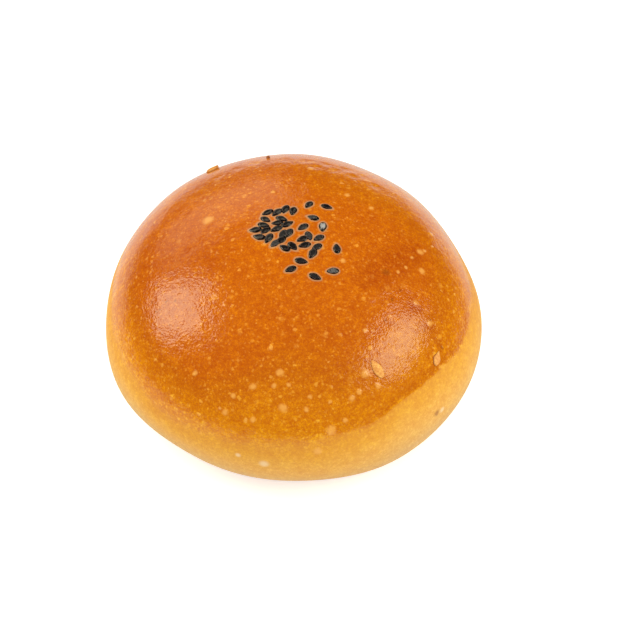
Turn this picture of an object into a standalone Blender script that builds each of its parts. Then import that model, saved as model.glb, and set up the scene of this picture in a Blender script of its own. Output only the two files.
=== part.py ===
"""A baked red bean bun with black sesame seeds on its crown, as one solid.

Metres, +Z up. The flat underside rests on z = 0 and the bun stands round the Z axis.
The shown side faces -Y. The bean filling is sealed inside, so the bun is solid through.
"""

import math
import random

import bmesh
import bpy
from mathutils import Matrix, Vector

MM = 0.001

# The ball of dough after proving: round in plan, domed above its waist, fuller below it
BUN_RADIUS = 49.3 * MM
WAIST_HEIGHT = 19.0 * MM
CROWN_RISE = 31.3 * MM
BELLY_DROP = 32.0 * MM
TRAY_SOFTNESS = 2.0 * MM
CAGE_CELLS = 14
ROUNDING_LEVELS = 1

# Where the proved dough swells or sinks: bearing round the bun from its front, anticlockwise seen
# from above, latitude on the ball, how far the crust moves out, and how wide the swelling is
SWELLS = (
    (0, -28, -0.6 * MM, 26 * MM),
    (37, -23, 0.8 * MM, 26 * MM),
    (66, -12, 0.9 * MM, 26 * MM),
    (90, 0, 0.1 * MM, 26 * MM),
    (114, 12, -1.7 * MM, 26 * MM),
    (143, 23, -0.6 * MM, 26 * MM),
    (180, 28, 0.7 * MM, 26 * MM),
    (217, 23, 0.7 * MM, 26 * MM),
    (246, 12, -0.1 * MM, 26 * MM),
    (270, 0, -0.3 * MM, 26 * MM),
    (294, -12, 1.0 * MM, 26 * MM),
    (323, -23, -0.7 * MM, 26 * MM),
)

# A black sesame seed: flat, blunt at the back and drawn out to a point in front
SEED_LENGTH = 3.3 * MM
SEED_WIDTH = 1.9 * MM
SEED_THICKNESS = 0.95 * MM
SEED_NARROWING = 0.45
SEED_DRAWN_OUT = 0.12
SEED_SIDES = 6
SEED_RINGS = 4
SEED_SIZE_SPREAD = 0.06
SEED_TILT_SPREAD = 7
SEED_DRAW = 17

# Seeds by where the sprinkle fell: x and y on the crown in millimetres, and the bearing of the
# point in degrees anticlockwise from +X
CLUMP = (
    (-6.5, 8, -150), (-4, 8, -130), (-2, 9, -110), (0, 8.5, -100), (-7, 5.5, -40),
    (-3, 5.5, -30), (-7.5, 3.5, -25), (-9.5, 2, 180), (-7, 1.5, -140), (-4, 4, -175),
    (-4, 2, -150), (-1.5, 3.5, 30), (-6, -1, -115), (-2.5, 0, -115), (-1, 0.5, -115),
    (-4.5, -3, -135), (-3, -2, -130), (-2, -4.5, 145), (-8.5, -0.5, 160),
)
LOOSE_ARC = (
    (4, 11, -120), (8.5, 10.5, -20), (5, 6, 160), (2.5, 2.5, -140), (7.5, 3, -95), (0, -4, -50),
    (2.5, -1.5, -150), (4, -0.5, -70), (6.5, -1, -145), (3, -3.5, -160), (6, -4, -140), (5, -6, -115),
)
STRAYS = ((11, -4, 95), (2, -8.5, -15), (-0.5, -11, -155), (5.5, -13, -25), (10, -11, -170))

# Raised spots of the crust: x, y and the long side's bearing, then length, width and thickness
SPOT_SIDES = 8
SPOT_RINGS = 6
CRUST_FLAKE = (-22.0, 33.4, 35, 5.6 * MM, 2.4 * MM, 1.3 * MM)
CRUST_BLISTER = (20.9, -33.4, 60, 2.6 * MM, 2.0 * MM, 0.8 * MM)
CRUST_GRAIN = (-10.3, 33.6, 0, 1.3 * MM, 1.3 * MM, 0.7 * MM)

CRUST_BROWN = (0.58, 0.17, 0.012, 1)
CRUST_ROUGHNESS = 0.35


def clear_scene():
    for thing in list(bpy.data.objects):
        bpy.data.objects.remove(thing)


def move_to(thing, collection):
    for holder in list(thing.users_collection):
        holder.objects.unlink(thing)
    collection.objects.link(thing)


def new_collection(name, helper=False):
    collection = bpy.data.collections.new(name)
    bpy.context.scene.collection.children.link(collection)
    collection.hide_render = helper
    return collection


def select_points(bun, wanted):
    points = bmesh.from_edit_mesh(bun.data)
    for vertex in points.verts:
        vertex.select = wanted(vertex)
    points.select_flush_mode()
    bmesh.update_edit_mesh(bun.data)


def dough_ball():
    """A ball with evenly spread square faces, settled under its own weight."""
    bpy.ops.mesh.primitive_cube_add(size=2 * BUN_RADIUS)
    bun = bpy.context.object
    bun.name = "bun"
    bpy.ops.object.mode_set(mode="EDIT")
    bpy.ops.mesh.select_all(action="SELECT")
    bpy.ops.mesh.subdivide(number_cuts=CAGE_CELLS - 1)
    bpy.ops.transform.tosphere(value=1.0)
    reached = max(vertex.co.length for vertex in bmesh.from_edit_mesh(bun.data).verts)
    to_radius = BUN_RADIUS / reached
    bpy.ops.transform.resize(value=(to_radius, to_radius, to_radius))
    select_points(bun, lambda vertex: vertex.co.z > 0)
    bpy.ops.transform.resize(value=(1, 1, CROWN_RISE / BUN_RADIUS), center_override=(0, 0, 0))
    select_points(bun, lambda vertex: vertex.co.z < 0)
    bpy.ops.transform.resize(value=(1, 1, BELLY_DROP / BUN_RADIUS), center_override=(0, 0, 0))
    bpy.ops.mesh.select_all(action="SELECT")
    bpy.ops.transform.translate(value=(0, 0, WAIST_HEIGHT))
    return bun


def swell(bun, bearing, latitude, rise, reach):
    """Pulls the crust out, or in where rise is negative, with a smooth falloff round the place."""
    turn = math.radians(bearing)
    tilt = math.radians(latitude)
    outward = Vector((math.sin(turn) * math.cos(tilt), -math.cos(turn) * math.cos(tilt), math.sin(tilt)))
    stretch = CROWN_RISE if latitude > 0 else BELLY_DROP
    place = Vector((outward.x * BUN_RADIUS, outward.y * BUN_RADIUS, outward.z * stretch + WAIST_HEIGHT))
    points = bmesh.from_edit_mesh(bun.data)
    nearest = min(points.verts, key=lambda vertex: (vertex.co - place).length)
    select_points(bun, lambda vertex: vertex == nearest)
    bpy.ops.transform.translate(
        value=outward * rise,
        use_proportional_edit=True,
        proportional_edit_falloff="SMOOTH",
        proportional_size=reach,
    )


def rest_on_tray(height):
    """A smooth maximum of a height and 0, which flattens what would sink into the tray."""
    overlap = max(TRAY_SOFTNESS - abs(height), 0) / TRAY_SOFTNESS
    return max(height, 0) + overlap * overlap * TRAY_SOFTNESS / 4


def centre_on_axis(bun):
    """Moves the mesh so that the bun's width and depth are centred on the Z axis."""
    for side in (0, 1):
        places = [vertex.co[side] for vertex in bun.data.vertices]
        middle = (min(places) + max(places)) / 2
        for vertex in bun.data.vertices:
            vertex.co[side] -= middle


def baked_bun():
    bun = dough_ball()
    for bearing, latitude, rise, reach in SWELLS:
        swell(bun, bearing, latitude, rise, reach)
    bpy.ops.object.mode_set(mode="OBJECT")
    rounding = bun.modifiers.new("rounding", "SUBSURF")
    rounding.levels = rounding.render_levels = ROUNDING_LEVELS
    bpy.ops.object.modifier_apply(modifier=rounding.name)
    for vertex in bun.data.vertices:
        vertex.co.z = rest_on_tray(vertex.co.z)
    centre_on_axis(bun)
    return bun


def crust_place(bun, x, y):
    """The point and outward direction of the crust under a place seen from above."""
    above = Vector((x * MM, y * MM, 2 * CROWN_RISE + WAIST_HEIGHT))
    hit, point, outward, _ = bun.ray_cast(above, Vector((0, 0, -1)))
    assert hit, "the place lies beside the bun"
    return point, outward


def lay_on_crust(thing, bun, x, y, heading, tilt=0.0):
    """Stands a piece half sunk in the crust, its flat side along it and its X axis on the heading."""
    point, outward = crust_place(bun, x, y)
    along = Vector((math.cos(math.radians(heading)), math.sin(math.radians(heading)), 0))
    along = (along - outward * along.dot(outward)).normalized()
    across = outward.cross(along)
    lean = Matrix.Rotation(math.radians(tilt), 4, "Y")
    basis = Matrix((along, across, outward)).transposed().to_4x4()
    thing.matrix_world = Matrix.Translation(point) @ basis @ lean


def oval(name, length, width, thickness, sides, rings):
    bpy.ops.mesh.primitive_uv_sphere_add(segments=sides, ring_count=rings, radius=0.5)
    piece = bpy.context.object
    piece.name = name
    bpy.ops.object.mode_set(mode="EDIT")
    bpy.ops.mesh.select_all(action="SELECT")
    bpy.ops.transform.resize(value=(length, width, thickness))
    bpy.ops.object.mode_set(mode="OBJECT")
    return piece


def sesame_seed(name, size):
    """An oval whose front half narrows and is drawn out towards its point."""
    length = SEED_LENGTH * size
    seed = oval(name, length, SEED_WIDTH * size, SEED_THICKNESS * size, SEED_SIDES, SEED_RINGS)
    for vertex in seed.data.vertices:
        forward = max(2 * vertex.co.x / length, 0)
        vertex.co.y *= 1 - SEED_NARROWING * forward
        vertex.co.x += SEED_DRAWN_OUT * forward**2 * length / 2
    return seed


def sprinkle(bun, toppings):
    draw = random.Random(SEED_DRAW)
    for number, (x, y, heading) in enumerate(CLUMP + LOOSE_ARC + STRAYS):
        size = 1 + draw.uniform(-SEED_SIZE_SPREAD, SEED_SIZE_SPREAD)
        tilt = draw.uniform(-SEED_TILT_SPREAD, SEED_TILT_SPREAD)
        seed = sesame_seed(f"seed_{number:02d}", size)
        lay_on_crust(seed, bun, x, y, heading, tilt)
        move_to(seed, toppings)


def raise_spots(bun, toppings):
    for name, spot in (("flake", CRUST_FLAKE), ("blister", CRUST_BLISTER), ("grain", CRUST_GRAIN)):
        x, y, heading, length, width, thickness = spot
        piece = oval(name, length, width, thickness, SPOT_SIDES, SPOT_RINGS)
        lay_on_crust(piece, bun, x, y, heading)
        move_to(piece, toppings)


def fuse(bun, toppings):
    """Joins the toppings to the bun as one closed solid and removes them."""
    bpy.context.view_layer.objects.active = bun
    union = bun.modifiers.new("toppings", "BOOLEAN")
    union.operation = "UNION"
    union.operand_type = "COLLECTION"
    union.collection = toppings
    union.solver = "MANIFOLD"
    bpy.ops.object.modifier_apply(modifier=union.name)
    for topping in list(toppings.objects):
        bpy.data.objects.remove(topping)
    bpy.data.collections.remove(toppings)


def crust_material():
    material = bpy.data.materials.new("crust")
    material.use_nodes = True
    shader = material.node_tree.nodes["Principled BSDF"]
    shader.inputs["Base Color"].default_value = CRUST_BROWN
    shader.inputs["Roughness"].default_value = CRUST_ROUGHNESS
    shader.inputs["Metallic"].default_value = 0
    return material


def main():
    clear_scene()
    bread = new_collection("red_bean_bun")
    toppings = new_collection("toppings", helper=True)
    bun = baked_bun()
    move_to(bun, bread)
    sprinkle(bun, toppings)
    raise_spots(bun, toppings)
    fuse(bun, toppings)
    bun.data.materials.append(crust_material())
    bun.data.shade_smooth()


if __name__ == "__main__":
    main()
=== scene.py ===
# %% [markdown]
# # A glazed red bean bun with black sesame seeds
#
# A red bean bun is a ball of sweet dough closed round a filling, brushed with egg, sprinkled with
# black sesame and baked on a flat tray. This lesson dresses the bun that the frame holds: first
# the camera, then the crust and its relief, the seeds, the raised spots, the three finishes and the
# studio.

# %% Load the frame
import math
import random

import bmesh
import bpy
from mathutils import Matrix, Vector
from mathutils.bvhtree import BVHTree


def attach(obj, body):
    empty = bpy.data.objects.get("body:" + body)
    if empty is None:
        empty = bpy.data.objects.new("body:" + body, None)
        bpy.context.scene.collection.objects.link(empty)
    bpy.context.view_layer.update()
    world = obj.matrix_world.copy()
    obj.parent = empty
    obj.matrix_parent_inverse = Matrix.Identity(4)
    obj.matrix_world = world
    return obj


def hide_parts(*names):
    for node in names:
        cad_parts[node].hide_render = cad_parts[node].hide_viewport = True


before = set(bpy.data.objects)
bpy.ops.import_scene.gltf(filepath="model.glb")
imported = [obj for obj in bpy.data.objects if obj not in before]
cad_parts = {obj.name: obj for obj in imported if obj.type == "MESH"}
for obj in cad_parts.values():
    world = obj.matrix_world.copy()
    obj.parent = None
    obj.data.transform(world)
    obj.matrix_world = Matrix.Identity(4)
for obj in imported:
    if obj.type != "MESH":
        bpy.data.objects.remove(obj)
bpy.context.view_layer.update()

MM = 0.001

# %% [markdown]
# The camera comes first, so that every later step can be looked at from it. The photo looks down
# on the bun from the front at 50 degrees. A long lens a little over half a metre away keeps the
# bun's far side nearly as large as its near side, as in the photo.

# %% Place the camera
PHOTO_PIXELS = 640
PIXELS_PER_MM = 3.83
LOOK_DOWN = math.radians(50)
CAMERA_DISTANCE = 0.60
LOOKED_AT = Vector((6.8 * MM, -1.7 * MM, 18.7 * MM))
SENSOR_WIDTH_MM = 36.0


def place_camera():
    lens = bpy.data.cameras.new("camera")
    lens.sensor_width = SENSOR_WIDTH_MM
    lens.lens = PIXELS_PER_MM / MM * CAMERA_DISTANCE * SENSOR_WIDTH_MM / PHOTO_PIXELS
    camera = bpy.data.objects.new("camera", lens)
    bpy.context.scene.collection.objects.link(camera)
    towards_camera = Vector((0, -math.cos(LOOK_DOWN), math.sin(LOOK_DOWN)))
    camera.location = LOOKED_AT + towards_camera * CAMERA_DISTANCE
    camera.rotation_euler = (math.pi / 2 - LOOK_DOWN, 0, 0)
    bpy.context.scene.camera = camera
    print("lens", round(lens.lens, 1), "mm at", [round(side, 3) for side in camera.location])


place_camera()

# %% [markdown]
# ## The dough
#
# A UV sphere would pinch at its crown, just where the seeds lie and the light slides over the
# glaze. A cube that is cut into even squares and then blown up to a sphere has no pole at all, so
# it takes relief and subdivision smoothly. The dough is then settled: flatter above its waist,
# fuller below it.

# %% Helpers for selecting and shaping by hand
def pick(piece):
    bpy.ops.object.select_all(action="DESELECT")
    piece.select_set(True)
    bpy.context.view_layer.objects.active = piece


def start_editing(piece):
    pick(piece)
    bpy.ops.object.mode_set(mode="EDIT")
    bpy.ops.mesh.select_all(action="DESELECT")


def select_points(piece, wanted):
    points = bmesh.from_edit_mesh(piece.data)
    for vertex in points.verts:
        vertex.select = wanted(vertex)
    points.select_flush_mode()
    bmesh.update_edit_mesh(piece.data)


def pull(move, reach, falloff="SMOOTH"):
    """Moves the selected points, and lets their neighbours follow within a reach."""
    bpy.ops.transform.translate(
        value=move,
        use_proportional_edit=True,
        proportional_edit_falloff=falloff,
        proportional_size=reach,
    )


def direction(bearing, rise):
    """The way out at a bearing from the front, anticlockwise from above, and a rise, in degrees."""
    turn = math.radians(bearing)
    tilt = math.radians(rise)
    level = math.cos(tilt)
    return Vector((math.sin(turn) * level, -math.cos(turn) * level, math.sin(tilt)))


# %% Blow up a cube into a settled ball of dough
BUN_RADIUS = 49.3 * MM
WAIST_HEIGHT = 19.0 * MM
CROWN_RISE = 31.3 * MM
BELLY_DROP = 32.0 * MM
CAGE_CELLS = 14


def settled_ball():
    bpy.ops.object.select_all(action="DESELECT")
    bpy.ops.mesh.primitive_cube_add(size=2 * BUN_RADIUS)
    dough = bpy.context.object
    dough.name = "bun_crust"
    start_editing(dough)
    bpy.ops.mesh.select_all(action="SELECT")
    bpy.ops.mesh.subdivide(number_cuts=CAGE_CELLS - 1)
    bpy.ops.transform.tosphere(value=1.0)
    reached = max(vertex.co.length for vertex in bmesh.from_edit_mesh(dough.data).verts)
    to_radius = BUN_RADIUS / reached
    bpy.ops.transform.resize(value=(to_radius, to_radius, to_radius))
    for side, height in ((1, CROWN_RISE), (-1, BELLY_DROP)):
        select_points(dough, lambda vertex: vertex.co.z * side > 0)
        bpy.ops.transform.resize(value=(1, 1, height / BUN_RADIUS), center_override=(0, 0, 0))
    bpy.ops.mesh.select_all(action="SELECT")
    bpy.ops.transform.translate(value=(0, 0, WAIST_HEIGHT))
    bpy.ops.object.mode_set(mode="OBJECT")
    return dough


bun_crust = settled_ball()
print("cage of", len(bun_crust.data.polygons), "squares")

# %% [markdown]
# No bun proves evenly. Proportional editing pulls one point and lets its neighbours follow with a
# smooth falloff, which is how a thumb would leave the dough. Each swelling is named by its bearing
# round the bun in degrees, its latitude on the ball and how far it moves out, in millimetres.

# %% Let the dough swell unevenly
SWELL_REACH = 26 * MM
SWELLS = (
    (0, -28, -0.6), (37, -23, 0.8), (66, -12, 0.9), (90, 0, 0.1),
    (114, 12, -1.7), (143, 23, -0.6), (180, 28, 0.7), (217, 23, 0.7),
    (246, 12, -0.1), (270, 0, -0.3), (294, -12, 1.0), (323, -23, -0.7),
)


def swell(dough, bearing, latitude, rise):
    """Pulls the crust out, or in where the rise is negative."""
    outward = direction(bearing, latitude)
    stretch = CROWN_RISE if latitude > 0 else BELLY_DROP
    x, y, z = outward
    place = Vector((x * BUN_RADIUS, y * BUN_RADIUS, z * stretch + WAIST_HEIGHT))
    points = bmesh.from_edit_mesh(dough.data)
    nearest = min(points.verts, key=lambda vertex: (vertex.co - place).length)
    select_points(dough, lambda vertex: vertex == nearest)
    pull(outward * rise, SWELL_REACH)


start_editing(bun_crust)
for bearing, latitude, rise in SWELLS:
    swell(bun_crust, bearing, latitude, rise * MM)
bpy.ops.object.mode_set(mode="OBJECT")
print("swelled or sunk at", len(SWELLS), "places")

# %% [markdown]
# Subdivision rounds the squares away. Only then is the underside pressed flat, because a flat cut
# into a coarse cage would be rounded off again. The tray holds the dough up from z = 0 with a small
# soft radius, and the bun is centred on the axis of its box, as the frame's solid is.

# %% Round the dough and press it on the tray
ROUNDING_LEVELS = 3
TRAY_SOFTNESS = 2.0 * MM


def rest_on_tray(height):
    """A smooth maximum of a height and 0, which flattens what would sink into the tray."""
    overlap = max(TRAY_SOFTNESS - abs(height), 0) / TRAY_SOFTNESS
    return max(height, 0) + overlap * overlap * TRAY_SOFTNESS / 4


def centre_on_axis(dough):
    """Moves the mesh so that its width and its depth are centred on the Z axis."""
    for side in (0, 1):
        places = [vertex.co[side] for vertex in dough.data.vertices]
        middle = (min(places) + max(places)) / 2
        for vertex in dough.data.vertices:
            vertex.co[side] -= middle


rounding = bun_crust.modifiers.new("rounding", "SUBSURF")
rounding.levels = rounding.render_levels = ROUNDING_LEVELS
pick(bun_crust)
bpy.ops.object.modifier_apply(modifier=rounding.name)
for vertex in bun_crust.data.vertices:
    vertex.co.z = rest_on_tray(vertex.co.z)
centre_on_axis(bun_crust)
print("crust of", len(bun_crust.data.polygons), "faces, size mm",
      [round(side / MM, 1) for side in bun_crust.dimensions])

# %% [markdown]
# The skin set before the dough inside had stopped moving, so it is creased. One crease runs across
# the right shoulder with a shallow valley above it, and a few finer ones lie near the far rim.
# Each is a row of strokes: a point of the skin is pushed out or in along its own normal, and its
# neighbours follow within a small reach.

# %% Crease the skin
VALLEY_DEPTH, VALLEY_REACH = 0.28 * MM, 6.0 * MM
CREASE_RISE, CREASE_REACH = 0.16 * MM, 2.6 * MM
WRINKLE_DEPTH, WRINKLE_REACH = 0.14 * MM, 2.4 * MM
SHOULDER_CREASE = (
    (18.5, -17.6), (21.5, -14), (24, -10), (26.5, -7), (30, -2), (33.3, 1.8), (36, 5),
)
SHOULDER_VALLEY = ((18, -12), (20.5, -8), (23.5, -4), (27, 0), (30, 5))
FAR_WRINKLES = (
    ((-2, 33.5), (3, 33), (8, 32), (13, 30.5), (18, 28)),
    ((6, 29.5), (11, 28.5), (16, 26.5), (21, 23.5)),
    ((-20, 28), (-15, 31), (-10, 33)),
)


def stroke(piece, places, rise, reach):
    """Pushes the upper crust along its normal at each place, given in millimetres from above."""
    for x, y in places:
        def away(vertex):
            return math.hypot(vertex.co.x - x * MM, vertex.co.y - y * MM)
        points = bmesh.from_edit_mesh(piece.data)
        upper = (vertex for vertex in points.verts if vertex.co.z > WAIST_HEIGHT)
        nearest = min(upper, key=away)
        push = nearest.normal * rise
        select_points(piece, lambda vertex: vertex == nearest)
        pull(push, reach)


start_editing(bun_crust)
stroke(bun_crust, SHOULDER_VALLEY, -VALLEY_DEPTH, VALLEY_REACH)
stroke(bun_crust, SHOULDER_CREASE, CREASE_RISE, CREASE_REACH)
for wrinkle in FAR_WRINKLES:
    stroke(bun_crust, wrinkle, -WRINKLE_DEPTH, WRINKLE_REACH)
bpy.ops.object.mode_set(mode="OBJECT")
print("strokes:", len(SHOULDER_VALLEY), "in the valley,", len(SHOULDER_CREASE), "on the crease and",
      sum(len(wrinkle) for wrinkle in FAR_WRINKLES), "in the wrinkles")

# %% [markdown]
# ## The seeds
#
# A sesame seed is a flat drop: blunt where it grew, pointed in front, with a faint rim round its
# edge where the two faces meet and a shallow dish that came in each face as it dried. A sphere is
# flattened, dished and drawn out once, and all the other seeds are copies of it with a mesh each.

# %% Model one sesame seed
SEED_LENGTH = 3.3 * MM
SEED_WIDTH = 2.05 * MM
SEED_THICKNESS = 1.0 * MM
SEED_NARROWING = 0.35
SEED_DRAWN_OUT = 0.08
SEED_SIDES = 24
SEED_RINGS = 14
SEED_RIM = 0.02 * MM
# Steps of the dish: how near to the middle of a face each begins, and the share of height it leaves
SEED_DISH = ((0.95, 0.7), (0.88, 0.84))


def store(piece, name, values):
    attribute = piece.data.attributes.new(name, "FLOAT", "POINT")
    attribute.data.foreach_set("value", values)


def sesame_seed():
    """A dished oval whose front half narrows and is drawn out towards its point, along X."""
    bpy.ops.object.select_all(action="DESELECT")
    bpy.ops.mesh.primitive_uv_sphere_add(segments=SEED_SIDES, ring_count=SEED_RINGS, radius=0.5)
    seed = bpy.context.object
    start_editing(seed)
    bpy.ops.mesh.select_all(action="SELECT")
    bpy.ops.transform.resize(value=(SEED_LENGTH, SEED_WIDTH, SEED_THICKNESS))
    round_points = bmesh.from_edit_mesh(seed.data).verts
    facing = [abs(vertex.co.z) * 2 / SEED_THICKNESS for vertex in round_points]
    for nearer, kept in SEED_DISH:
        select_points(seed, lambda vertex: facing[vertex.index] > nearer)
        bpy.ops.transform.resize(value=(1, 1, kept), center_override=(0, 0, 0))
    select_points(seed, lambda vertex: abs(vertex.co.z) < SEED_RIM / 2)
    bpy.ops.transform.shrink_fatten(value=SEED_RIM)
    bpy.ops.object.mode_set(mode="OBJECT")
    for vertex in seed.data.vertices:
        forward = max(2 * vertex.co.x / SEED_LENGTH, 0)
        vertex.co.y *= 1 - SEED_NARROWING * forward
        vertex.co.x += SEED_DRAWN_OUT * forward**2 * SEED_LENGTH / 2
    seed.data.shade_smooth()
    store(seed, "face_middle", facing)
    return seed


first_seed = sesame_seed()
print("one seed:", [round(side / MM, 2) for side in first_seed.dimensions], "mm")

# %% [markdown]
# The sprinkle fell as a tight clump, a loose arc round a bare spot and a few strays, each seed
# pointing its own way. A ray cast down on the crust finds where each seed lies and how it leans,
# and it sinks halfway into the egg wash that glued it on. The middles of each seed's faces are
# painted paler, a painted sheen. A few seeds are rubbed pale, and on one of them the paleness is a
# painted highlight. Each place is given in millimetres as seen from above, with the bearing of the
# seed's point.

# %% Sprinkle the seeds where they fell
SEED_SIZE_SPREAD = 0.06
SEED_TILT_SPREAD = 7
SEED_DRAW = 17
# How much paler the middles of the seeds' faces are painted, a painted sheen, drawn between these
SEED_WEAR_AND_SHEEN = (0.0, 0.06)
# Seeds painted paler in the middles of their faces than the others, by place; on the seed at 10,
# -11 it is a painted highlight
WORN_AND_SHEENED_SEEDS = {(7.5, 3): 0.8, (10, -11): 0.25, (-4.5, -3): 0.12, (4, -0.5): 0.1, (5, 6): 0.1}
CLUMP = (
    (-6.5, 8, -150), (-4, 8, -130), (-2, 9, -110), (0, 8.5, -100), (-7, 5.5, -40),
    (-3, 5.5, -30), (-7.5, 3.5, -25), (-9.5, 2, 180), (-7, 1.5, -140), (-4, 4, -175),
    (-4, 2, -150), (-1.5, 3.5, 30), (-6, -1, -115), (-2.5, 0, -115), (-1, 0.5, -115),
    (-4.5, -3, -135), (-3, -2, -130), (-2, -4.5, 145), (-8.5, -0.5, 160),
)
LOOSE_ARC = (
    (4, 11, -120), (8.5, 10.5, -20), (5, 6, 160), (2.5, 2.5, -140), (7.5, 3, -95),
    (0, -4, -50), (2.5, -1.5, -150), (4, -0.5, -70), (6.5, -1, -145), (3, -3.5, -160),
    (6, -4, -140), (5, -6, -115),
)
STRAYS = ((11, -4, 95), (2, -8.5, -15), (-0.5, -11, -155), (5.5, -13, -25), (10, -11, -170))
SPRINKLE = CLUMP + LOOSE_ARC + STRAYS


def crust_place(x, y):
    """The point and outward direction of the crust under a place seen from above."""
    above = Vector((x * MM, y * MM, 2 * CROWN_RISE + WAIST_HEIGHT))
    _, point, outward, _ = bun_crust.ray_cast(above, Vector((0, 0, -1)))
    return point, outward


def lie_on_crust(x, y, heading, tilt=0.0):
    """The turn and place of a piece that lies on the crust with its X axis on the heading."""
    point, outward = crust_place(x, y)
    along = Vector((math.cos(math.radians(heading)), math.sin(math.radians(heading)), 0))
    along = (along - outward * along.dot(outward)).normalized()
    across = outward.cross(along)
    facing = Matrix((along, across, outward)).transposed().to_4x4()
    lean = Matrix.Rotation(math.radians(tilt), 4, "Y")
    return Matrix.Translation(point) @ facing @ lean


def join(pieces, name):
    bpy.ops.object.select_all(action="DESELECT")
    for piece in pieces:
        piece.select_set(True)
    bpy.context.view_layer.objects.active = pieces[0]
    bpy.ops.object.join()
    joined = bpy.context.object
    joined.name = name
    return joined


def sprinkle(seed):
    draw = random.Random(SEED_DRAW)
    wear_and_sheen_draw = random.Random(SEED_DRAW + 1)
    seeds = []
    bpy.context.view_layer.update()
    for x, y, heading in SPRINKLE:
        size = 1 + draw.uniform(-SEED_SIZE_SPREAD, SEED_SIZE_SPREAD)
        tilt = draw.uniform(-SEED_TILT_SPREAD, SEED_TILT_SPREAD)
        copy = seed.copy()
        copy.data = seed.data.copy()
        bpy.context.scene.collection.objects.link(copy)
        copy.data.transform(lie_on_crust(x, y, heading, tilt) @ Matrix.Scale(size, 4))
        # How much paler this seed's middles are painted: rubbed skin on a few, a painted sheen on
        # all
        wear_and_sheen = WORN_AND_SHEENED_SEEDS.get((x, y), wear_and_sheen_draw.uniform(*SEED_WEAR_AND_SHEEN))
        store(copy, "wear_and_sheen", [wear_and_sheen] * len(copy.data.vertices))
        seeds.append(copy)
    bpy.data.objects.remove(seed)
    return join(seeds, "sesame_seeds")


sesame_seeds = sprinkle(first_seed)
print("sprinkle of", len(SPRINKLE), "seeds,", len(sesame_seeds.data.polygons), "faces")

# %% [markdown]
# ## Raised spots of the crust
#
# A dry flake of skin stands up near the far rim, a blister burst beside the right highlight and
# left a ridged lens of pale skin, a splinter of skin lifted at the wash's edge and a browned grain
# of flour sits at the far rim. All start as a ball, flattened and pulled up along its middle, and
# differ in how they are pinched, bent and toasted, so one function makes them all. They are joined
# into one piece.

# %% Lay the raised spots on the crust
SPOT_SIDES = 20
SPOT_RINGS = 12
# The ridge along the middle: its half width and reach in widths, and its rise in thicknesses
SPOT_RIDGE = 0.04
SPOT_RIDGE_REACH = 0.35
SPOT_RIDGE_RISE = 0.15
# Name, place and heading, length, width and thickness in mm, pinch and curl, and how toasted it is
RAISED_SPOTS = (
    ("flake", (-21.6, 35.0, 30), (3.8, 2.0, 1.3), (0.7, 0.3), 0.35),
    ("blister", (20.9, -33.4, 130), (5.2, 2.6, 1.0), (0.35, 0.0), 0.0),
    ("grain", (-6.9, 36.4, 0), (1.0, 1.0, 1.1), (0.0, 0.0), 1.0),
    ("splinter", (36.0, -25.8, 100), (4.0, 2.5, 0.8), (0.85, 0.1), 0.0),
)


def raised_spot(name, length, width, thickness, pinch, curl):
    """A flattened ball with a ridge, whose front half is pinched and curls up."""
    bpy.ops.object.select_all(action="DESELECT")
    bpy.ops.mesh.primitive_uv_sphere_add(segments=SPOT_SIDES, ring_count=SPOT_RINGS, radius=0.5)
    spot = bpy.context.object
    spot.name = name
    start_editing(spot)
    bpy.ops.mesh.select_all(action="SELECT")
    bpy.ops.transform.resize(value=(length, width, thickness))
    select_points(spot, lambda vertex: abs(vertex.co.y) < SPOT_RIDGE * width and vertex.co.z > 0)
    pull((0, 0, SPOT_RIDGE_RISE * thickness), SPOT_RIDGE_REACH * width, "SHARP")
    bpy.ops.object.mode_set(mode="OBJECT")
    for vertex in spot.data.vertices:
        forward = max(2 * vertex.co.x / length, 0)
        vertex.co.y *= 1 - pinch * forward
        vertex.co.z += curl * thickness * forward**2
    spot.data.shade_smooth()
    return spot


def lay_raised_spots():
    spots = []
    for name, place, size, bends, toasting in RAISED_SPOTS:
        spot = raised_spot(name, *(side * MM for side in size), *bends)
        spot.data.transform(lie_on_crust(*place))
        store(spot, "toasting", [toasting] * len(spot.data.vertices))
        spots.append(spot)
    return join(spots, "crust_flakes")


crust_flakes = lay_raised_spots()
print("raised spots:", [spot[0] for spot in RAISED_SPOTS])

# %% [markdown]
# The wash pooled round the seeds while it was wet. The crust's squares are too large to show that,
# so those near a seed are cut finer, and their points rise a little towards it. Distances from the
# nearest seed are kept in millimetres, because the finish reads them too.

# %% Cut the crust finer round the seeds and let the wash climb them
SEED_RIM_REACH = 2.0 * MM
FINER_WITHIN = 1.3
FINER_CUTS = 3
WASH_CLIMB = 0.16 * MM
WASH_CLIMB_REACH = 0.6


def seed_gaps(places):
    """How far each place is from the nearest seed, in millimetres, up to the reach."""
    tree = BVHTree.FromObject(sesame_seeds, bpy.context.evaluated_depsgraph_get())
    found = (tree.find_nearest(place, SEED_RIM_REACH)[3] for place in places)
    return [(SEED_RIM_REACH if gap is None else gap) / MM for gap in found]


close = seed_gaps([vertex.co for vertex in bun_crust.data.vertices])
start_editing(bun_crust)
select_points(bun_crust, lambda vertex: close[vertex.index] < FINER_WITHIN)
bpy.ops.mesh.subdivide(number_cuts=FINER_CUTS)
bpy.ops.object.mode_set(mode="OBJECT")
seed_gap = seed_gaps([vertex.co for vertex in bun_crust.data.vertices])
normals = [vertex.normal.copy() for vertex in bun_crust.data.vertices]
for vertex, normal, gap in zip(bun_crust.data.vertices, normals, seed_gap):
    if gap < WASH_CLIMB_REACH:
        vertex.co += normal * WASH_CLIMB * (1 - gap / WASH_CLIMB_REACH) ** 2
print("crust of", len(bun_crust.data.polygons), "faces after cutting finer round the seeds")

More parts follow.
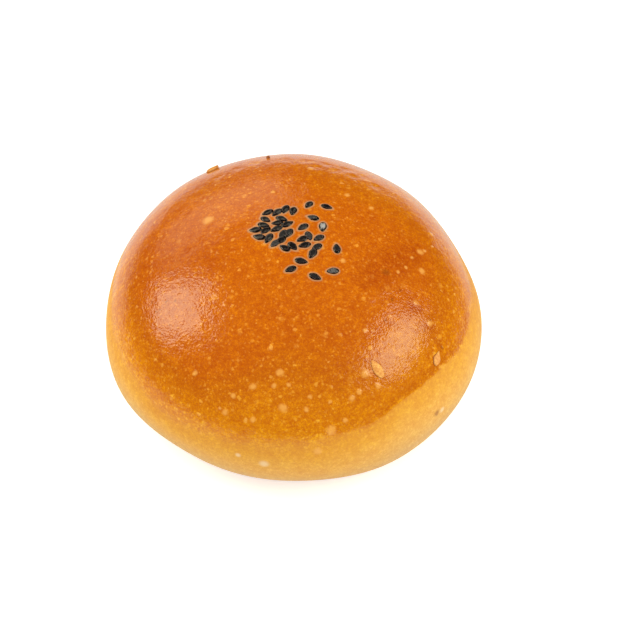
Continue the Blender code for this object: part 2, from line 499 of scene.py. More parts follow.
# %% [markdown]
# ## Marks that follow the surface
#
# How brown the crust is depends on how far a point lies above the edge of the egg wash. That can't
# be told from plain coordinates, so it is stored on the crust's points as an attribute, in
# millimetres, and the material reads it. The wash was brushed on from above: its lower edge wanders
# round the bun, with a bead where it ran down at the front right. Where the oven was hotter, at the
# left and the back, the crust browns sooner above the edge, so heights count for more there.

# %% Measure how far each point is above the edge of the egg wash
# Bearing from the front, height of the edge in millimetres, share of the bead, haste of browning
WASH_EDGE = (
    (0, 27.5, 0.0, 1.0), (22, 28.1, 0.5, 1.0), (37, 30.2, 1.0, 1.1), (52, 30.3, 1.0, 1.1),
    (67, 29.3, 1.0, 1.2), (85, 30.2, 0.4, 1.2), (107, 30.8, 0.1, 1.1), (135, 32.5, 0.0, 1.0),
    (225, 31.0, 0.0, 1.2), (252, 29.4, 0.0, 1.7), (275, 28.8, 0.0, 1.8), (292, 28.0, 0.0, 1.6),
    (307, 26.7, 0.0, 1.6), (322, 25.2, 0.0, 1.5), (337, 26.3, 0.0, 1.3), (360, 27.5, 0.0, 1.0),
)


def wash_edge(bearing):
    """The edge's height, its bead and the haste above it, eased between two bearings."""
    for (start, *before), (end, *after) in zip(WASH_EDGE, WASH_EDGE[1:]):
        if start <= bearing <= end:
            part = (bearing - start) / (end - start)
            eased = part * part * (3 - 2 * part)
            return [low + (high - low) * eased for low, high in zip(before, after)]


above_edge = []
edge_bead = []
for vertex in bun_crust.data.vertices:
    bearing = math.degrees(math.atan2(vertex.co.x, -vertex.co.y)) % 360
    height, bead, haste = wash_edge(bearing)
    above_edge.append((vertex.co.z / MM - height) * haste)
    edge_bead.append(bead)
store(bun_crust, "above_edge", above_edge)
store(bun_crust, "edge_bead", edge_bead)
store(bun_crust, "seed_gap", seed_gap)
print("crust from", round(min(above_edge), 1), "to", round(max(above_edge), 1), "mm above the edge")

# %% [markdown]
# ## Finishes
#
# Helpers keep the node trees readable. One makes a node and sets it, some do arithmetic with
# sockets or plain numbers, one maps a value from a range to another, and the last two start a
# material and add a bump to it. The object is in metres, so scales of textures are counts a metre.

# %% Helpers for building node trees
def node(tree, kind, **settings):
    made = tree.nodes.new(kind)
    for name, value in settings.items():
        setattr(made, name, value)
    return made


def feed(tree, socket, value):
    if isinstance(value, bpy.types.NodeSocket):
        tree.links.new(value, socket)
    else:
        socket.default_value = value


def calc(tree, operation, *values, clamp=False):
    made = node(tree, "ShaderNodeMath", operation=operation, use_clamp=clamp)
    for socket, value in zip(made.inputs, values):
        feed(tree, socket, value)
    return made.outputs[0]


def plus(tree, first, second):
    return calc(tree, "ADD", first, second)


def times(tree, first, second):
    return calc(tree, "MULTIPLY", first, second)


def fade(tree, value, start, end, low=0.0, high=1.0):
    """Maps value from start..end to low..high with a smooth step."""
    made = node(tree, "ShaderNodeMapRange", interpolation_type="SMOOTHSTEP")
    names = ("Value", "From Min", "From Max", "To Min", "To Max")
    for name, given in zip(names, (value, start, end, low, high)):
        feed(tree, made.inputs[name], given)
    return made.outputs["Result"]


def blend_colour(tree, amount, first, second, kind="MIX"):
    made = node(tree, "ShaderNodeMix", data_type="RGBA", blend_type=kind)
    feed(tree, made.inputs["Factor"], amount)
    feed(tree, made.inputs["A"], first)
    feed(tree, made.inputs["B"], second)
    return made.outputs["Result"]


def noise(tree, place, lumps, detail):
    """Cloudy values round 0, from about -0.5 to 0.5, with a number of lumps a metre."""
    made = node(tree, "ShaderNodeTexNoise")
    feed(tree, made.inputs["Vector"], place)
    made.inputs["Scale"].default_value = lumps
    made.inputs["Detail"].default_value = detail
    return calc(tree, "SUBTRACT", made.outputs["Fac"], 0.5)


def attribute(tree, name):
    made = node(tree, "ShaderNodeAttribute", attribute_type="GEOMETRY", attribute_name=name)
    return made.outputs["Fac"]


def colour(red, green, blue):
    """A colour seen on the screen, from 0 to 255 a channel, as the shader wants it."""
    def linear(channel):
        part = channel / 255
        return part / 12.92 if part <= 0.04045 else ((part + 0.055) / 1.055) ** 2.4
    return (linear(red), linear(green), linear(blue), 1)


def start_finish(name):
    """A new material, its tree, its shader and the point that is shaded."""
    material = bpy.data.materials.new(name)
    material.use_nodes = True
    tree = material.node_tree
    place = node(tree, "ShaderNodeTexCoord").outputs["Object"]
    return material, tree, tree.nodes["Principled BSDF"], place


def add_bump(tree, shader, height, distance):
    bump = node(tree, "ShaderNodeBump")
    bump.inputs["Distance"].default_value = distance
    feed(tree, bump.inputs["Height"], height)
    feed(tree, shader.inputs["Normal"], bump.outputs["Normal"])


# %% [markdown]
# Baked skin is never smooth: it is covered in pores and tiny blisters, on the dough and on the
# seeds alike. That grain is one node group with named sockets, placed in each material at its own
# scale. Voronoi cells give the pores and a noise gives the lumps between them.

# %% Build the grain that the finishes share
PORE_SOFTNESS = 0.6
LUMP_DETAIL = 3.0


def skin_grain_group():
    group = bpy.data.node_groups.new("skin_grain", "ShaderNodeTree")
    group.interface.new_socket("Place", in_out="INPUT", socket_type="NodeSocketVector")
    for name in ("Lumps", "Strength"):
        group.interface.new_socket(name, in_out="INPUT", socket_type="NodeSocketFloat")
    for name in ("Height", "Tone"):
        group.interface.new_socket(name, in_out="OUTPUT", socket_type="NodeSocketFloat")
    given = node(group, "NodeGroupInput")
    result = node(group, "NodeGroupOutput")
    pores = node(group, "ShaderNodeTexVoronoi", feature="SMOOTH_F1")
    pores.inputs["Smoothness"].default_value = PORE_SOFTNESS
    lumps = node(group, "ShaderNodeTexNoise")
    lumps.inputs["Detail"].default_value = LUMP_DETAIL
    for texture in (pores, lumps):
        group.links.new(given.outputs["Place"], texture.inputs["Vector"])
        group.links.new(given.outputs["Lumps"], texture.inputs["Scale"])
    strength = given.outputs["Strength"]
    height = times(group, plus(group, lumps.outputs["Fac"], pores.outputs["Distance"]), strength)
    tone = times(group, calc(group, "SUBTRACT", lumps.outputs["Fac"], 0.5), strength)
    group.links.new(height, result.inputs["Height"])
    group.links.new(tone, result.inputs["Tone"])
    return group


skin_grain = skin_grain_group()
print("grain sockets:", [socket.name for socket in skin_grain.interface.items_tree])


def grain(tree, place, lumps, strength):
    """The height of the grain's pores and lumps, and a tone round 0 that follows the lumps."""
    made = node(tree, "ShaderNodeGroup", node_tree=skin_grain)
    feed(tree, made.inputs["Place"], place)
    made.inputs["Lumps"].default_value = lumps
    made.inputs["Strength"].default_value = strength
    return made.outputs["Height"], made.outputs["Tone"]


# %% [markdown]
# The crust's colour is read off a ramp in millimetres above the wash's edge: pale dough round the
# foot, straw, gold, then a brown that deepens towards the crown. Noises make the edge ragged and
# the brown cloudy. Where the wash ran down, the ramp jumps at its edge and a thin line of thicker,
# darker wash lies along it. Heights here are millimetres above that edge.

# %% Bake the crust's colour
# The ends of the ramp and its colours
RAMP_BELOW = -22.0
RAMP_ABOVE = 22.0
BAKED = (
    (-22.0, colour(216, 166, 90)), (-15.5, colour(221, 164, 72)), (-12.0, colour(222, 159, 59)),
    (-9.0, colour(222, 157, 45)), (-6.0, colour(219, 149, 24)), (-3.0, colour(216, 142, 4)),
    (0.0, colour(209, 129, 0)), (3.0, colour(203, 118, 0)), (7.0, colour(197, 110, 0)),
    (12.5, colour(186, 96, 0)), (16.5, colour(186, 91, 0)), (21.0, colour(187, 91, 0)),
)
# Deep brown for the line of thicker wash and the browner spots, and painted shade in the shoulder
# valley and on the left side
DEEP_BROWN_AND_SHADE = colour(158, 60, 0)
# Lumps a metre and detail of each noise, and how far it moves the height that is read off the ramp
RAGGED, RAGGED_BY = (130, 4), 3.0
CLOUDY, CLOUDY_BY = (60, 3), 7.0
EDGE_JUMP = 3.0
EDGE_WIDTH = 0.8
# Where the line of thicker wash begins and is full, where it ends and begins to thin
BEAD_FROM, BEAD_FULL = -0.4, 0.7
BEAD_ENDS, BEAD_THINS = 3.4, 1.2
BEAD_DEPTH = 0.3
UNWASHED_BELOW, WASHED_ABOVE = -6.0, 3.0


def baked_ramp(tree, reach):
    made = node(tree, "ShaderNodeValToRGB")
    ramp = made.color_ramp
    ramp.elements.remove(ramp.elements[0])
    span = RAMP_ABOVE - RAMP_BELOW
    for number, (height, shade) in enumerate(BAKED):
        position = (height - RAMP_BELOW) / span
        element = ramp.elements[0] if number == 0 else ramp.elements.new(position)
        element.position = position
        element.color = shade
    along = calc(tree, "DIVIDE", calc(tree, "SUBTRACT", reach, RAMP_BELOW), span, clamp=True)
    feed(tree, made.inputs["Fac"], along)
    return made.outputs["Color"]


def baked_colour(tree, place):
    """The brown of the crust, and how far the point is inside the wash, from 0 to 1."""
    bead = attribute(tree, "edge_bead")
    ragged = times(tree, noise(tree, place, *RAGGED), RAGGED_BY)
    reach = plus(tree, attribute(tree, "above_edge"), ragged)
    side = fade(tree, reach, -EDGE_WIDTH, EDGE_WIDTH, -EDGE_JUMP, EDGE_JUMP)
    jumped = plus(tree, reach, times(tree, side, bead))
    clouds = times(tree, noise(tree, place, *CLOUDY), CLOUDY_BY)
    baked = baked_ramp(tree, plus(tree, jumped, clouds))
    above = fade(tree, reach, BEAD_FROM, BEAD_FULL)
    below = fade(tree, reach, BEAD_ENDS, BEAD_THINS)
    thick = times(tree, times(tree, times(tree, above, below), bead), BEAD_DEPTH)
    inside = fade(tree, jumped, UNWASHED_BELOW, WASHED_ABOVE)
    return blend_colour(tree, thick, baked, DEEP_BROWN_AND_SHADE), inside


print("browning ramp of", len(BAKED), "colours from", RAMP_BELOW, "to", RAMP_ABOVE, "mm")

# %% [markdown]
# Tiny bubbles under the wash show as pale specks, hundreds of them. Each is one cell of a Voronoi
# pattern, shown only when the cell's own random number is low. The count of cells, the share that
# shows and the size of a speck are three values. Several marks are listed as x, y, z and a radius,
# all in millimetres:
# - the larger flecks, with painted highlights along the shoulder crease;
# - the dustings of flour;
# - the scorched spots, with dark dots of painted shade where pits break the highlights;
# - the browner places, with painted shade in the shoulder valley and on the left side;
# - a painted highlight of lighter gold under the right highlight.

# %% Scatter pale specks
WASH_FLECK_GAIN = (1.35, 2.0, 1.0, 1)
DOUGH_FLECK_GAIN = (1.15, 1.35, 1.9, 1)
BUBBLE = colour(238, 172, 82)
FLOUR = colour(236, 206, 160)
# Dark brown of the scorched spots, and of the painted shade where pits break the highlights
SCORCH_AND_PIT_SHADE = colour(132, 62, 10)
# A lighter gold painted under the right highlight: a painted highlight
GOLDEN_HIGHLIGHT = colour(236, 164, 30)
# Pale flecks; the five along the shoulder crease, from 26.4, -7.9 to 35.4, 4.7, are painted
# highlights on its crest
PALE_FLECKS_AND_CREASE_GLINTS = (
    (-3.0, -36.4, 40.0, 1.2), (-2.2, -42.9, 34.3, 1.4), (-9.6, -38.7, 37.4, 1.1),
    (-4.4, -38.9, 38.0, 0.8), (-0.8, -38.8, 38.2, 0.8), (-14.5, -39.7, 35.1, 0.9),
    (3.4, -43.1, 33.9, 0.8), (9.5, -45.6, 29.0, 1.6), (6.3, -48.1, 23.8, 1.3),
    (-24.0, -33.5, 36.3, 0.9), (14.6, -40.0, 34.6, 1.0), (13.7, 16.5, 46.9, 1.0),
    (19.9, 12.6, 46.3, 1.0), (32.5, -5.2, 42.1, 1.1), (35.4, 10.1, 39.1, 0.9),
    (32.2, 0.9, 42.5, 1.2), (12.5, -7.6, 48.7, 1.0), (-21.7, 8.2, 46.5, 1.9),
    (-5.2, 16.5, 48.1, 0.9), (17.8, -35.0, 37.8, 1.4), (34.3, -18.8, 37.9, 1.2),
    (26.4, -7.9, 44.8, 0.6), (28.4, -5.8, 44.2, 0.6), (30.0, -2.1, 43.6, 0.7),
    (33.3, 1.8, 41.9, 0.7), (35.4, 4.7, 40.2, 0.6), (30.4, -14.9, 41.0, 1.1),
    (4.3, 28.5, 44.7, 1.3), (16.4, -38.7, 35.3, 0.9), (21.1, -36.6, 35.1, 1.0),
    (12.9, -43.7, 30.6, 0.8), (4.4, -40.9, 36.2, 0.7), (-16.5, -42.0, 31.6, 1.0),
    (-9.6, -44.2, 31.3, 1.0), (9.2, -41.4, 34.8, 0.6), (-17.8, -41.1, 32.0, 0.6),
    (17.9, -25.5, 43.2, 0.8), (19.1, -29.4, 41.0, 0.7),
)
FLOUR_DUSTINGS = ((-13.5, -47.1, 20.8, 0.9), (-7.1, -48.5, 19.0, 1.6), (37.6, -32.2, 19.8, 1.1))
# Scorched spots; those of at most 0.6 mm on the shoulders under the two highlights are dark dots of
# painted shade where pits break the highlights
SCORCHES_AND_SHADED_PITS = (
    (-31.7, -14.6, 41.1, 0.5), (-29.4, -15.2, 42.2, 0.5), (-34.2, -16.2, 39.1, 0.4),
    (-33.2, -16.1, 39.8, 0.4), (-35.4, -13.3, 39.1, 0.35), (-30.5, -21.0, 39.7, 0.35),
    (24.7, -16.3, 43.9, 0.6), (26.8, -13.0, 43.8, 0.5), (34.3, -18.0, 38.2, 0.5),
    (32.7, -21.2, 38.0, 0.4), (22.9, -22.0, 42.8, 0.5), (-32.5, -22.3, 37.8, 0.4),
    (36.2, -33.6, 20.3, 1.2), (37.3, -22.9, 33.1, 0.6), (23.3, -8.8, 45.8, 1.4),
    (12.0, -38.6, 36.0, 0.9),
)
# Where the painted highlight of lighter gold lies, under the right highlight
GOLDEN_HIGHLIGHT_PLACES = ((27.6, -27.0, 38.0, 8.0),)
# The left side, painted darker where the left soft box lights it: a painted shade
SHADED_LEFT_SIDE = ((-31.0, -6.0, 42.0, 21.0),)
# The first three darken the shallow valley above the shoulder crease as painted shade; the rest are
# browner spots on the right shoulder
BROWNED_AND_SHADED_PLACES = (
    (20.5, -10.4, 46.5, 7.0), (25.6, -5.0, 45.3, 6.0), (29.6, 0.4, 43.8, 5.0),
    (30.0, -17.0, 41.0, 3.0), (33.6, -20.8, 37.4, 2.6), (24.2, -23.0, 41.9, 2.2),
    (36.2, -23.2, 34.4, 1.6),
)
SMALLEST_SPECK = 0.4
SPECK_CORE = 0.45
SPOT_OUTSIDE = 1.1
SPOT_CORE = 0.25


def cells(tree, place, count):
    """Distance to the middle of a cell, and two random numbers of that cell."""
    pattern = node(tree, "ShaderNodeTexVoronoi")
    feed(tree, pattern.inputs["Vector"], place)
    pattern.inputs["Scale"].default_value = count
    chance = node(tree, "ShaderNodeSeparateColor")
    feed(tree, chance.inputs["Color"], pattern.outputs["Color"])
    return pattern.outputs["Distance"], chance.outputs["Red"], chance.outputs["Green"]


def specks(tree, place, count, share, size):
    """Soft dots in a share of the cells, counted a metre, up to a size in parts of a cell."""
    distance, chance, girth = cells(tree, place, count)
    chosen = calc(tree, "LESS_THAN", chance, share)
    shrunk = plus(tree, times(tree, girth, 1 - SMALLEST_SPECK), SMALLEST_SPECK)
    radius = times(tree, shrunk, size)
    return times(tree, fade(tree, distance, radius, times(tree, radius, SPECK_CORE)), chosen)


def placed_spots(tree, place, spots):
    """Soft dots at named places, each given as x, y, z and radius in millimetres."""
    shown = 0.0
    for x, y, z, radius in spots:
        away = node(tree, "ShaderNodeVectorMath", operation="DISTANCE")
        feed(tree, away.inputs[0], place)
        away.inputs[1].default_value = (x * MM, y * MM, z * MM)
        outside, core = SPOT_OUTSIDE * radius * MM, SPOT_CORE * radius * MM
        shown = calc(tree, "MAXIMUM", shown, fade(tree, away.outputs["Value"], outside, core))
    return shown


def wobbled(tree, place, lumps, amount):
    """A place pushed about by a noise, so that round spots come out ragged."""
    push = node(tree, "ShaderNodeTexNoise")
    feed(tree, push.inputs["Vector"], place)
    push.inputs["Scale"].default_value = lumps
    centred = node(tree, "ShaderNodeVectorMath", operation="SUBTRACT")
    feed(tree, centred.inputs[0], push.outputs["Color"])
    centred.inputs[1].default_value = (0.5, 0.5, 0.5)
    moved = node(tree, "ShaderNodeVectorMath", operation="MULTIPLY_ADD")
    feed(tree, moved.inputs[0], centred.outputs[0])
    moved.inputs[1].default_value = (amount, amount, amount)
    feed(tree, moved.inputs[2], place)
    return moved.outputs[0]


print("placed:", len(PALE_FLECKS_AND_CREASE_GLINTS), "flecks,", len(SCORCHES_AND_SHADED_PITS), "scorches,",
      len(FLOUR_DUSTINGS), "dustings,", len(BROWNED_AND_SHADED_PLACES), "browned places")

# %% [markdown]
# Between the specks the brown still wavers from point to point, less in its red than in its green
# and blue, because a thinner skin is paler rather than brighter. Noises from six millimetres down
# to a quarter are added, each with its own weight. Light places stand out more than dark ones, so
# the part above nought counts double.

# %% Mottle a colour
# Lumps a metre and weight of each noise
MOTTLES = ((160, 0.25), (330, 0.4), (650, 0.7), (1700, 1.1), (4200, 1.3))
MOTTLE_DETAIL = 1
MOTTLE_TINT = (0.55, 1.25, 2.2)
EVEN_SHARE = 0.55
LIGHT_SHARE = 0.55


def mottled(tree, place, tint, strength=1.0):
    amount = 0.0
    for lumps, weight in MOTTLES:
        cloud = noise(tree, place, lumps, MOTTLE_DETAIL)
        amount = plus(tree, amount, times(tree, cloud, weight))
    light = times(tree, calc(tree, "MAXIMUM", amount, 0.0), LIGHT_SHARE)
    amount = plus(tree, times(tree, amount, EVEN_SHARE), light)
    factor = node(tree, "ShaderNodeVectorMath", operation="MULTIPLY_ADD")
    feed(tree, factor.inputs[0], times(tree, amount, strength))
    factor.inputs[1].default_value = MOTTLE_TINT
    factor.inputs[2].default_value = (1, 1, 1)
    return blend_colour(tree, 1.0, tint, factor.outputs[0], "MULTIPLY")


print("mottling in lumps a metre:", [lumps for lumps, _ in MOTTLES])

# %% [markdown]
# All of it comes together in the crust's one material, from the base colour out:
# - browned places, with painted shade in the shoulder valley and on the left side;
# - a painted highlight of gold under the right highlight;
# - mottling;
# - flecks, with painted highlights along the shoulder crease;
# - flour;
# - scorched spots, with painted shade where pits break the highlights;
# - a pale grey painted sheen on the wash round the seeds.
# The underside was baked on the tray and has no wash, so it is an even tan. The tan fades up the
# lowest two millimetres of the side, so the side is darker towards the floor. The wash is glossy
# and the bare dough is not. One bump carries the pores, long waves, shallow dimples and the raised
# bubbles and flecks.

# %% Finish the crust
# Pale grey painted round each seed: a painted sheen on the wash that climbs it
SEED_WASH_SHEEN = colour(180, 142, 104)
TRAY_TAN = colour(196, 134, 66)
# Each kind of bubble: how many cells a metre, the share of them with a bubble and its size in cells
FINE_BUBBLES = (1000, 0.7, 0.5)
SMALL_BUBBLES = (520, 0.5, 0.36)
SOFT_BUBBLES = (300, 0.45, 0.34)
LARGE_BUBBLES = (170, 0.16, 0.17)
# How strongly each kind shows, from fine to large, and last the listed flecks and crease highlights
BUBBLES_SHOW = (0.42, 0.75, 0.4, 0.45, 0.62)
BUBBLE_SHARE = 0.35
# Where the bubbles crowd: lumps a metre and detail of a noise, and its fade from few to all
CROWDS = (45, 2)
CROWD_FADE = (-0.16, 0.12, 0.35, 1.0)
# Lumps a metre and how far a place is pushed, for spots that come out ragged
BUBBLE_WOBBLE = (900, 1.2 * MM)
FLECK_AND_GLINT_WOBBLE = (700, 0.9 * MM)
SCORCH_AND_PIT_WOBBLE = (1200, 1.2 * MM)
WIDE_WOBBLE = (150, 6 * MM)
# How much of each place's own colour shows
BROWNED_AND_SHADED_SHOW, SHADED_LEFT_SIDE_SHOWS, GOLDEN_HIGHLIGHT_SHOWS = 0.45, 0.3, 0.1
FLOUR_SHOWS, SCORCHES_AND_PIT_SHADE_SHOW, WASH_SHEEN_SHOWS = 0.7, 0.6, 0.6
WASH_SHEEN_ENDS, WASH_SHEEN_FULL = 0.5, 0.12
DOUGH_MOTTLING, WASH_MOTTLING = 0.5, 0.95
DOUGH_ROUGHNESS, WASH_ROUGHNESS = 0.6, 0.15
TRAY_FADES, TRAY_FULL = 2.2 * MM, 0.4 * MM
# The relief: lumps a metre and strength or detail of each layer, and how high it stands
PORES = (1750, 0.4)
WAVES, WAVES_RISE = (160, 1), 2.0
DIMPLES, DIMPLES_RISE = (420, 2), 1.1
SMALL_BUBBLES_RISE, FLECKS_AND_GLINTS_RISE = 0.35, 0.8
CRUST_BUMP = 0.11 * MM


def bubbles(tree, place):
    """The bubbles under the wash, from fine to large, and last the listed flecks and painted crease
    highlights.
    """
    ragged = wobbled(tree, place, *BUBBLE_WOBBLE)
    crowd = fade(tree, noise(tree, place, *CROWDS), *CROWD_FADE)
    fine, small, soft = (
        times(tree, specks(tree, ragged, *kind), crowd)
        for kind in (FINE_BUBBLES, SMALL_BUBBLES, SOFT_BUBBLES)
    )
    large = specks(tree, ragged, *LARGE_BUBBLES)
    named = placed_spots(tree, wobbled(tree, place, *FLECK_AND_GLINT_WOBBLE), PALE_FLECKS_AND_CREASE_GLINTS)
    return fine, small, soft, large, named


def browned_and_painted_light_tint(tree, place, baked):
    """The baked colour: browner spots, painted shade in the valley and on the left, a painted
    highlight.
    """
    wide = wobbled(tree, place, *WIDE_WOBBLE)
    # Browner spots, and painted shade in the shoulder valley
    spots = times(tree, placed_spots(tree, wide, BROWNED_AND_SHADED_PLACES), BROWNED_AND_SHADED_SHOW)
    # Painted shade over the left side
    side = times(tree, placed_spots(tree, place, SHADED_LEFT_SIDE), SHADED_LEFT_SIDE_SHOWS)
    tint = blend_colour(tree, calc(tree, "MAXIMUM", spots, side), baked, DEEP_BROWN_AND_SHADE)
    # A painted highlight: lighter gold under the right highlight
    golden_highlight = times(tree, placed_spots(tree, wide, GOLDEN_HIGHLIGHT_PLACES), GOLDEN_HIGHLIGHT_SHOWS)
    return blend_colour(tree, golden_highlight, tint, GOLDEN_HIGHLIGHT)


def flecked_tint(tree, tint, inside, layers):
    """A colour with the bubbles in it, the crowded ones as a paler shade of it."""
    gain = blend_colour(tree, inside, DOUGH_FLECK_GAIN, WASH_FLECK_GAIN)
    pale = blend_colour(tree, 1.0, tint, gain, "MULTIPLY")
    pale = blend_colour(tree, BUBBLE_SHARE, pale, BUBBLE)
    for layer, shows, shade in zip(layers, BUBBLES_SHOW, (pale, pale, pale, BUBBLE, BUBBLE)):
        tint = blend_colour(tree, times(tree, layer, shows), tint, shade)
    return tint


def spotted_tint(tree, place, tint):
    """A colour with flour, scorched spots, dark dots of painted shade for pits and a painted sheen
    round the seeds.
    """
    flour = times(tree, placed_spots(tree, place, FLOUR_DUSTINGS), FLOUR_SHOWS)
    tint = blend_colour(tree, flour, tint, FLOUR)
    # Scorched spots, and painted shade for the pits in the highlights
    scorched_and_shaded_pits = placed_spots(tree, wobbled(tree, place, *SCORCH_AND_PIT_WOBBLE), SCORCHES_AND_SHADED_PITS)
    tint = blend_colour(tree, times(tree, scorched_and_shaded_pits, SCORCHES_AND_PIT_SHADE_SHOW), tint, SCORCH_AND_PIT_SHADE)
    # A painted sheen: pale grey on the wash close round each seed
    wash_sheen = times(tree, fade(tree, attribute(tree, "seed_gap"), WASH_SHEEN_ENDS, WASH_SHEEN_FULL), WASH_SHEEN_SHOWS)
    return blend_colour(tree, wash_sheen, tint, SEED_WASH_SHEEN)


def crust_relief(tree, place, small, named):
    pores, _ = grain(tree, place, *PORES)
    waves = times(tree, noise(tree, place, *WAVES), WAVES_RISE)
    dimples = plus(tree, waves, times(tree, noise(tree, place, *DIMPLES), DIMPLES_RISE))
    raised = plus(tree, times(tree, small, SMALL_BUBBLES_RISE), times(tree, named, FLECKS_AND_GLINTS_RISE))
    return plus(tree, plus(tree, pores, dimples), raised)


def crust_finish():
    material, tree, shader, place = start_finish("glazed_crust")
    baked, inside = baked_colour(tree, place)
    layers = bubbles(tree, place)
    tint = browned_and_painted_light_tint(tree, place, baked)
    mottling = fade(tree, inside, 0.0, 1.0, DOUGH_MOTTLING, WASH_MOTTLING)
    tint = flecked_tint(tree, mottled(tree, place, tint, mottling), inside, layers)
    tint = spotted_tint(tree, place, tint)
    sides = node(tree, "ShaderNodeSeparateXYZ")
    feed(tree, sides.inputs[0], place)
    # Darker towards the floor: the tray tan of the underside fades up the lowest part of the side
    under = fade(tree, sides.outputs["Z"], TRAY_FADES, TRAY_FULL)
    tint = blend_colour(tree, under, tint, mottled(tree, place, TRAY_TAN))
    feed(tree, shader.inputs["Base Color"], tint)
    roughness = fade(tree, inside, 0.0, 1.0, DOUGH_ROUGHNESS, WASH_ROUGHNESS)
    feed(tree, shader.inputs["Roughness"], roughness)
    _, small, _, _, named = layers
    add_bump(tree, shader, crust_relief(tree, place, small, named), CRUST_BUMP)
    return material


glazed_crust = crust_finish()
bun_crust.data.materials.append(glazed_crust)
bun_crust.data.shade_smooth()
print("crust finish:", len(glazed_crust.node_tree.nodes), "nodes")

# %% [markdown]
# The raised spots are skin without wash, dry and pale on top, and darkened with painted shade
# where they meet the crust. How far each of their points stands above the crust is stored before
# the material reads it. Some spots are toasted all over, as far as the table of raised spots says.

# %% Finish the raised spots
DRY_SKIN = colour(222, 148, 62)
# The toasted brown, also painted as shade along the seam where a spot meets the crust
TOASTED_AND_SEAM_SHADE = colour(150, 76, 16)
SEAM_SHADED_BELOW, PALE_ABOVE = 0.05, 0.3
DRY_SKIN_GRAIN = (2200, 1.0)
DRY_SKIN_ROUGHNESS = 0.55
DRY_SKIN_BUMP = 0.05 * MM


def measure_proud():
    """How far each point of the raised spots stands above the crust, in millimetres."""
    crust = BVHTree.FromObject(bun_crust, bpy.context.evaluated_depsgraph_get())
    heights = []
    for vertex in crust_flakes.data.vertices:
        foot, outward, _, _ = crust.find_nearest(vertex.co)
        heights.append((vertex.co - foot).dot(outward) / MM)
    return heights


def flake_finish():
    material, tree, shader, place = start_finish("dry_skin")
    pores, _ = grain(tree, place, *DRY_SKIN_GRAIN)
    # Painted shade along the seam where the spot meets the crust, and toasting from the table
    edge = fade(tree, attribute(tree, "proud"), PALE_ABOVE, SEAM_SHADED_BELOW)
    edge = calc(tree, "MAXIMUM", edge, attribute(tree, "toasting"))
    tint = blend_colour(tree, edge, mottled(tree, place, DRY_SKIN), TOASTED_AND_SEAM_SHADE)
    feed(tree, shader.inputs["Base Color"], tint)
    shader.inputs["Roughness"].default_value = DRY_SKIN_ROUGHNESS
    add_bump(tree, shader, pores, DRY_SKIN_BUMP)
    return material


proud = measure_proud()
store(crust_flakes, "proud", proud)
crust_flakes.data.materials.append(flake_finish())
print("raised spots stand up to", round(max(proud), 2), "mm above the crust")

# %% [markdown]
# A black sesame seed is not one black. A warm charcoal is painted along the ridge round the dish of
# each face as a painted sheen. The middle of each face is painted paler, a painted sheen, and on a
# few seeds the skin is worn off the middle and leaves the pale seed bare. How near a point is to
# the middle of a face and how pale its seed is painted were stored while the seeds were made.

# %% Finish the seeds
SEED_BLACK = colour(13, 9, 9)
# The pale middle of a face: the bare seed where the skin is rubbed off, and a painted sheen
SEED_BARE_AND_SHEEN = colour(180, 176, 172)
# A painted sheen of warm charcoal along the ridge round each face's dish
SEED_RIDGE_SHEEN = colour(122, 100, 94)
SEED_GRAIN = (2600, 1.0)
# Parts of the way from a seed's edge, 0, to the middle of a face, 1
PALE_MIDDLE_FROM, PALE_MIDDLE_FULL = 0.6, 1.0
RIDGE_AT = 0.74
RIDGE_ENDS, RIDGE_FULL = 0.9, 1.02
RIDGE_RAGGED = 0.3
RIDGE_SHEEN_SHOWS = 0.35
SEED_ROUGHNESS = 0.15
SEED_BUMP = 0.02 * MM


def seed_finish():
    material, tree, shader, place = start_finish("sesame_skin")
    pores, tone = grain(tree, place, *SEED_GRAIN)
    middle = attribute(tree, "face_middle")
    # The middles of the faces painted paler: a painted sheen, and bare seed where it is rubbed
    worn_and_sheened = fade(tree, plus(tree, middle, tone), PALE_MIDDLE_FROM, PALE_MIDDLE_FULL)
    worn_and_sheened = times(tree, worn_and_sheened, attribute(tree, "wear_and_sheen"))
    # A painted sheen along the ridge round the dish of each face
    away = calc(tree, "ABSOLUTE", calc(tree, "SUBTRACT", middle, RIDGE_AT))
    ridge = plus(tree, calc(tree, "SUBTRACT", 1.0, away), times(tree, tone, RIDGE_RAGGED))
    ridge = times(tree, fade(tree, ridge, RIDGE_ENDS, RIDGE_FULL), RIDGE_SHEEN_SHOWS)
    tint = blend_colour(tree, ridge, SEED_BLACK, SEED_RIDGE_SHEEN)
    feed(tree, shader.inputs["Base Color"], blend_colour(tree, worn_and_sheened, tint, SEED_BARE_AND_SHEEN))
    shader.inputs["Roughness"].default_value = SEED_ROUGHNESS
    add_bump(tree, shader, pores, SEED_BUMP)
    return material


sesame_skin = seed_finish()
sesame_seeds.data.materials.append(sesame_skin)
print("seed finish:", len(sesame_skin.node_tree.nodes), "nodes")

# %% [markdown]
# ## The studio
#
# A photo studio for food: a pale floor, a soft box on each side and a dim far window. The surround
# lights the crust evenly from all round, but in reflections it is bright only below the horizon,
# as a white table would be. So the glaze shows the table along its far rim and the boxes on its
# two shoulders, and keeps its colour in between. The floor and the surround look white to the
# camera, and the floor glows far less to the bun, which is hardly lit from below.

# %% Lay the floor and set the lights
FLOOR_SIDE = 0.8
FLOOR_DROP = 0.05 * MM
FLOOR_GREY = (0.84, 0.84, 0.84, 1)
FLOOR_ROUGHNESS = 0.9
FLOOR_GLOW, FLOOR_GLOW_SEEN = 0.1, 0.5
WHITE = (1, 1, 1, 1)
SURROUND_GLOW = 0.94
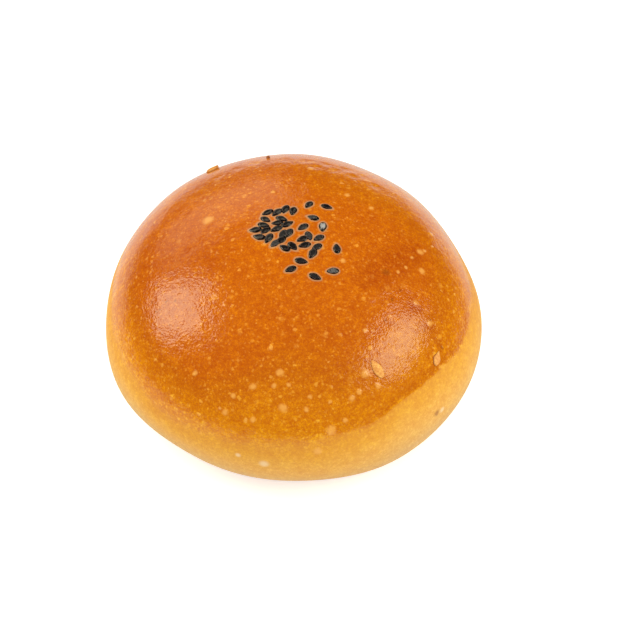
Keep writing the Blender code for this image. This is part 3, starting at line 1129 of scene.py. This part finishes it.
# What the glaze reflects of the surround: the sine of the height where the table ends and the dark
# begins, and how bright each is
TABLE_ENDS, DARK_BEGINS = -0.24, -0.06
TABLE_GLOW, DARK_GLOW = 0.9, 0.01
AIMED_HEIGHT = 30 * MM
BOX_DISTANCE = 0.9
BOX_WARMTH = (1.0, 0.97, 0.72)
# Name, bearing and rise in degrees, width and height in metres, and watts
SOFT_BOXES = (
    ("left_soft_box", 256, 37, 0.44, 0.50, 3.6),
    ("right_soft_box", 79, 38, 0.62, 0.38, 3.3),
    ("far_window", 205, 22, 0.70, 0.40, 0.9),
)


def studio_floor():
    bpy.ops.object.select_all(action="DESELECT")
    bpy.ops.mesh.primitive_plane_add(size=FLOOR_SIDE, location=(0, 0, -FLOOR_DROP))
    floor = bpy.context.object
    floor.name = "floor"
    material = bpy.data.materials.new("pale_floor")
    material.use_nodes = True
    tree = material.node_tree
    shader = tree.nodes["Principled BSDF"]
    shader.inputs["Base Color"].default_value = FLOOR_GREY
    shader.inputs["Roughness"].default_value = FLOOR_ROUGHNESS
    shader.inputs["Emission Color"].default_value = WHITE
    seen = node(tree, "ShaderNodeLightPath").outputs["Is Camera Ray"]
    glow = fade(tree, seen, 0.0, 1.0, FLOOR_GLOW, FLOOR_GLOW_SEEN)
    feed(tree, shader.inputs["Emission Strength"], glow)
    floor.data.materials.append(material)
    return floor


def soft_box(name, bearing, rise, width, height, power):
    light = bpy.data.lights.new(name, "AREA")
    light.shape = "RECTANGLE"
    light.size = width
    light.size_y = height
    light.energy = power
    light.color = BOX_WARMTH
    away = direction(bearing, rise)
    box = bpy.data.objects.new(name, light)
    bpy.context.scene.collection.objects.link(box)
    box.location = Vector((0, 0, AIMED_HEIGHT)) + away * BOX_DISTANCE
    box.rotation_euler = away.to_track_quat("Z", "Y").to_euler()


def surround():
    world = bpy.data.worlds.new("surround")
    world.use_nodes = True
    tree = world.node_tree
    sky = node(tree, "ShaderNodeSeparateXYZ")
    feed(tree, sky.inputs[0], node(tree, "ShaderNodeTexCoord").outputs["Generated"])
    reflected = fade(tree, sky.outputs["Z"], TABLE_ENDS, DARK_BEGINS, TABLE_GLOW, DARK_GLOW)
    ray = node(tree, "ShaderNodeLightPath")
    strength = node(tree, "ShaderNodeMix", data_type="FLOAT")
    feed(tree, strength.inputs["Factor"], ray.outputs["Is Glossy Ray"])
    feed(tree, strength.inputs["A"], SURROUND_GLOW)
    feed(tree, strength.inputs["B"], reflected)
    seen = calc(tree, "MAXIMUM", strength.outputs["Result"], ray.outputs["Is Camera Ray"])
    feed(tree, tree.nodes["Background"].inputs["Strength"], seen)
    feed(tree, tree.nodes["Background"].inputs["Color"], WHITE)
    world.cycles.sampling_method = "NONE"
    bpy.context.scene.world = world


floor = studio_floor()
floor.visible_glossy = False
for box in SOFT_BOXES:
    soft_box(*box)
surround()
bpy.context.scene.view_settings.view_transform = "Standard"
print("lights:", [(light.name, round(light.energy, 2)) for light in bpy.data.lights])

# %% [markdown]
# ## Hand over
#
# All three pieces ride on the bun's one body. Together they stand for the solid, which stays
# hidden for collision.

# %% Ride and replace
for piece, slot in ((bun_crust, "crust"), (crust_flakes, "crust"), (sesame_seeds, "sesame")):
    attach(piece, "root")
    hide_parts("bun")
